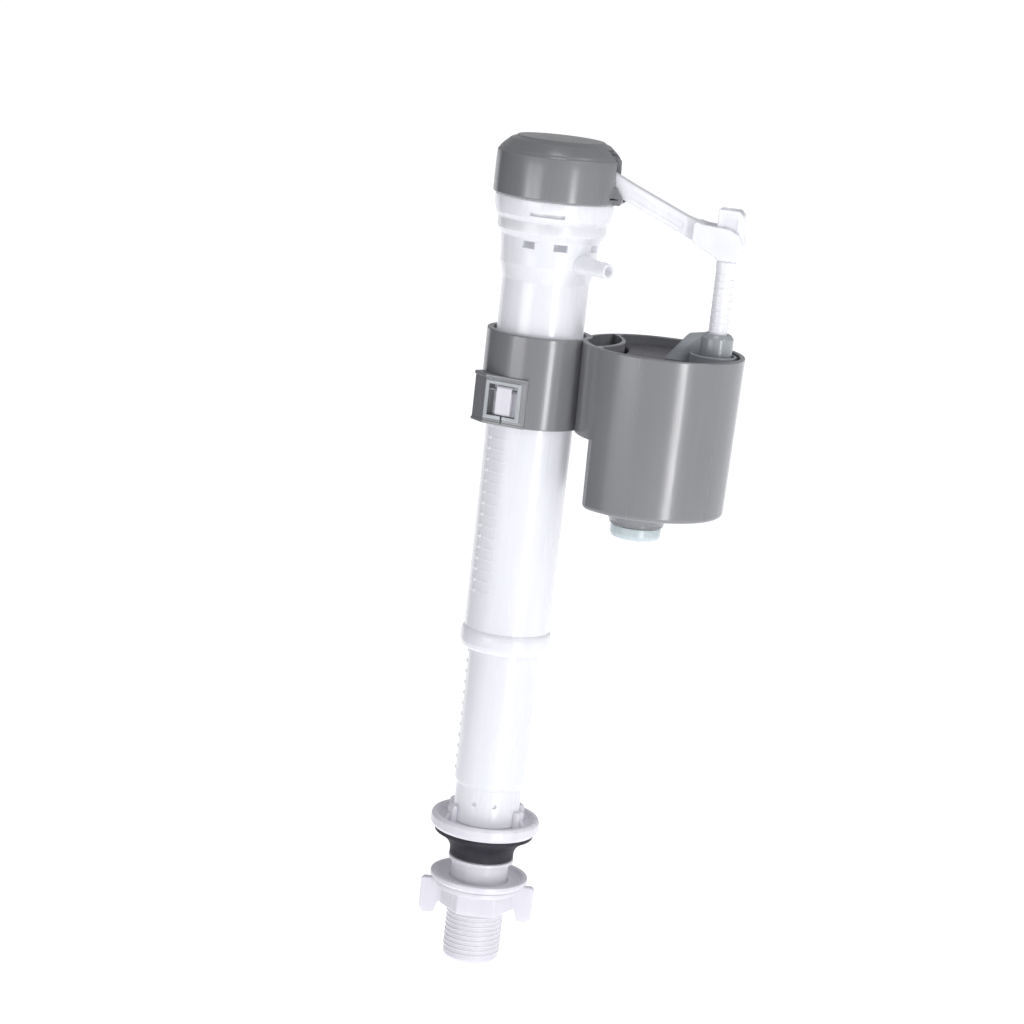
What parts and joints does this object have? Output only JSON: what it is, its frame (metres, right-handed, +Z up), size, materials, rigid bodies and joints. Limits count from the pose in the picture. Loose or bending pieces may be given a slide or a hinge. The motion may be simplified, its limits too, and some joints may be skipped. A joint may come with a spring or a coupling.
{
  "type": "toilet fill valve",
  "caption": "Bottom-entry cistern fill valve: telescopic riser on a threaded shank, capped pilot valve head, sloping lever, threaded rod and a side float cup.",
  "frame": {"origin": "on the shank's axis, in the plane of the flange's underside, where the inside floor of the cistern comes", "axes": "+Z up the riser; +X from the riser towards the float cup and the rod; +Y makes it right-handed"},
  "size_m": [0.0952, 0.0574, 0.302],
  "materials": {
    "milky_plastic": "translucent milky white, satin gloss",
    "shank_plastic": "opaque pale lilac-white, satin",
    "grey_plastic": "mid grey moulded plastic, satin gloss",
    "black_rubber": "charcoal-black rubber, matt",
    "clear_silicone": "translucent white silicone, soft gloss"
  },
  "bodies": {
    "base": {"inlet_shank": "shank_plastic", "cone_washer": "black_rubber", "slip_washer": "shank_plastic", "inlet_strainer": "shank_plastic", "flow_restrictor": "shank_plastic", "lower_tube": "milky_plastic", "lower_supply_pipe": "milky_plastic", "pipe_o_ring": "black_rubber"},
    "clamp": {"pressure_washer": "shank_plastic"},
    "nut": {"lock_nut": "shank_plastic"},
    "riser": {"riser_tube": "milky_plastic", "upper_supply_pipe": "milky_plastic", "valve_seat": "milky_plastic", "diaphragm": "black_rubber", "valve_bonnet": "milky_plastic", "bonnet_o_ring": "black_rubber", "pivot_pin": "milky_plastic", "head_cap": "grey_plastic"},
    "ring": {"lock_ring": "milky_plastic"},
    "insert": {"diaphragm_insert": "milky_plastic"},
    "lever_arm": {"lever": "milky_plastic", "pilot_seal": "black_rubber"},
    "clip": {"rod_clip": "milky_plastic"},
    "rod": {"adjusting_rod": "milky_plastic"},
    "cup": {"float_cup": "grey_plastic", "latch_pin": "grey_plastic"},
    "latch": {"rack_latch": "milky_plastic"},
    "float_body": {"float": "grey_plastic"},
    "drain": {"drain_plug": "milky_plastic", "drain_seal": "clear_silicone"}
  },
  "joints": [
    {"name": "nut_travel", "type": "slide", "parent": "base", "child": "clamp", "axis": [0, 0, 1], "range_m": [-0.012, 0.004]},
    {"name": "nut_spin", "type": "hinge", "parent": "clamp", "child": "nut", "pos_m": [0, 0, -0.025], "axis": [0, 0, 1], "range_deg": [-2382, 794]},
    {"name": "riser_height", "type": "slide", "parent": "base", "child": "riser", "axis": [0, 0, 1], "range_m": [-0.05, 0]},
    {"name": "lock_ring_turn", "type": "hinge", "parent": "riser", "child": "ring", "pos_m": [0, 0, 0.072], "axis": [0, 0, 1], "range_deg": [0, 40]},
    {"name": "cup_height", "type": "slide", "parent": "riser", "child": "cup", "axis": [0, 0, 1], "range_m": [-0.04, 0.008]},
    {"name": "rod_turn", "type": "hinge", "parent": "clip", "child": "rod", "pos_m": [0.0627, 0, 0.225], "axis": [0, 0, 1], "range_deg": [-1153, 5761]},
    {"name": "latch_press", "type": "hinge", "parent": "cup", "child": "latch", "pos_m": [-0.00673, -0.01684, 0.1639], "axis": [-0.9848, 0.1736, 0], "range_deg": [0, 10], "stiffness_Nm_per_rad": 0.02},
    {"name": "lever_swing", "type": "hinge", "parent": "riser", "child": "lever_arm", "pos_m": [0.012, 0, 0.2424], "axis": [0, -1, 0], "range_deg": [0, 12]},
    {"name": "rod_lift", "type": "slide", "parent": "riser", "child": "clip", "axis": [0, 0, 1], "range_m": [0, 0.0116]},
    {"name": "float_lift", "type": "slide", "parent": "cup", "child": "float_body", "axis": [0, 0, 1], "range_m": [0, 0.0116]},
    {"name": "diaphragm_close", "type": "slide", "parent": "riser", "child": "insert", "axis": [0, 0, -1], "range_m": [0, 0.001]},
    {"name": "drain_plug_drop", "type": "slide", "parent": "cup", "child": "drain", "axis": [0, 0, 1], "range_m": [-0.0012, 0]}
  ],
  "couplings": [
    {"joint": "nut_spin", "follows": "nut_travel", "rad_per_m": 3463.7},
    {"joint": "rod_turn", "follows": "cup_height", "rad_per_m": -2513.3},
    {"joint": "rod_lift", "follows": "lever_swing", "m_per_rad": 0.05481},
    {"joint": "float_lift", "follows": "lever_swing", "m_per_rad": 0.05481},
    {"joint": "diaphragm_close", "follows": "lever_swing", "m_per_rad": 0.0047}
  ]
}
